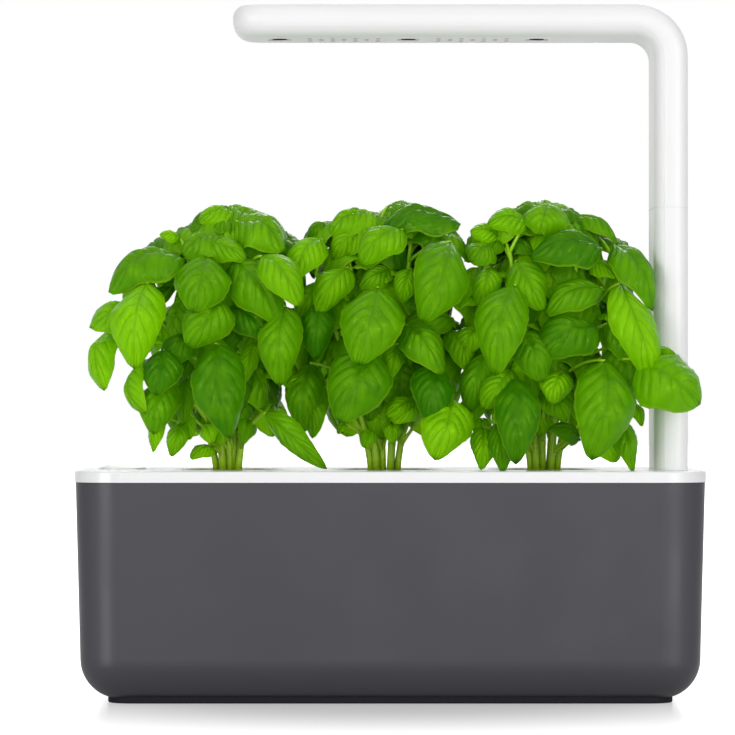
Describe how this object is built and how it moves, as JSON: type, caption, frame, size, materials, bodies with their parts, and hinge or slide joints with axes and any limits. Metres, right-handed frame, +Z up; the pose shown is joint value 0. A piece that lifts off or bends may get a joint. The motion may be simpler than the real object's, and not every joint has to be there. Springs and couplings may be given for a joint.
{
  "type": "countertop hydroponic garden",
  "caption": "Self-watering tabletop plant garden: dark water tub, white lift-out tray with float and basil pods, and a grow lamp on a removable extension arm.",
  "frame": {"origin": "centre of the plinth's underside, on the surface that it stands on", "axes": "+X towards the lamp's post, +Y to the back, +Z up"},
  "size_m": [0.3012, 0.1272, 0.3355],
  "materials": {
    "tub_plastic": "satin",
    "plinth_plastic": "matte",
    "pad_rubber": "matte",
    "tray_plastic": "satin",
    "cap_plastic": "satin",
    "lamp_plastic": "satin",
    "inner_plastic": "satin",
    "black_plastic": "matte",
    "contact_brass": "polished",
    "screw_steel": "satin",
    "wire_cover": "satin",
    "wick_felt": "matte",
    "pod_plastic": "matte",
    "growing_medium": "matte",
    "label_paper": "matte",
    "leaf": "satin",
    "window_plastic": "gloss",
    "board_white": "satin",
    "board_green": "satin",
    "emitter": "satin",
    "spreader_metal": "satin"
  },
  "bodies": {
    "tub": {"tub": "tub_plastic", "base_plinth": "plinth_plastic", "anti_slip_pads": "pad_rubber"},
    "tray": {"tray": "tray_plastic", "float_cage": "inner_plastic", "cup_left": "inner_plastic", "cup_middle": "inner_plastic", "cup_right": "inner_plastic", "wick_left": "wick_felt", "wick_middle": "wick_felt", "wick_right": "wick_felt", "socket_housing": "inner_plastic", "socket_contacts": "contact_brass", "socket_cover": "inner_plastic", "socket_screws": "screw_steel", "inlet_housing": "black_plastic", "power_jack": "black_plastic", "jack_pin": "contact_brass", "inlet_wires": "wire_cover"},
    "float": {"float_cap": "cap_plastic", "float_body": "inner_plastic"},
    "extension": {"extension_outer_shell": "lamp_plastic", "extension_inner_shell": "lamp_plastic", "extension_plug": "inner_plastic", "extension_plug_contacts": "contact_brass", "extension_socket": "inner_plastic", "extension_socket_contacts": "contact_brass", "extension_wires": "wire_cover"},
    "lamp": {"lamp_outer_shell": "lamp_plastic", "lamp_inner_cover": "lamp_plastic", "light_baffles": "black_plastic", "light_windows": "window_plastic", "light_board": "board_white", "light_emitters": "emitter", "heat_spreader": "spreader_metal", "timer_board": "board_green", "timer_board_parts": "black_plastic", "lamp_wires": "wire_cover", "lamp_plug": "inner_plastic", "lamp_plug_contacts": "contact_brass", "lamp_screws": "screw_steel"},
    "pod_left": {"pod_shell_left": "pod_plastic", "growing_medium_left": "growing_medium", "pod_label_left": "label_paper", "basil_left": "leaf"},
    "pod_middle": {"pod_shell_middle": "pod_plastic", "growing_medium_middle": "growing_medium", "pod_label_middle": "label_paper", "basil_middle": "leaf"},
    "pod_right": {"pod_shell_right": "pod_plastic", "growing_medium_right": "growing_medium", "pod_label_right": "label_paper", "basil_right": "leaf"}
  },
  "joints": [
    {"name": "tray_lift", "type": "slide", "parent": "tub", "child": "tray", "axis": [0, 0, 1], "range_m": [0, 0.09]},
    {"name": "float_travel", "type": "slide", "parent": "tray", "child": "float", "axis": [0, 0, 1], "range_m": [-0.061, 0]},
    {"name": "extension_lift", "type": "slide", "parent": "tray", "child": "extension", "axis": [0, 0, 1], "range_m": [0, 0.04]},
    {"name": "lamp_lift", "type": "slide", "parent": "extension", "child": "lamp", "axis": [0, 0, 1], "range_m": [0, 0.03]},
    {"name": "pod_left_lift", "type": "slide", "parent": "tray", "child": "pod_left", "axis": [0, 0, 1], "range_m": [0, 0.062]},
    {"name": "pod_middle_lift", "type": "slide", "parent": "tray", "child": "pod_middle", "axis": [0, 0, 1], "range_m": [0, 0.062]},
    {"name": "pod_right_lift", "type": "slide", "parent": "tray", "child": "pod_right", "axis": [0, 0, 1], "range_m": [0, 0.062]}
  ]
}
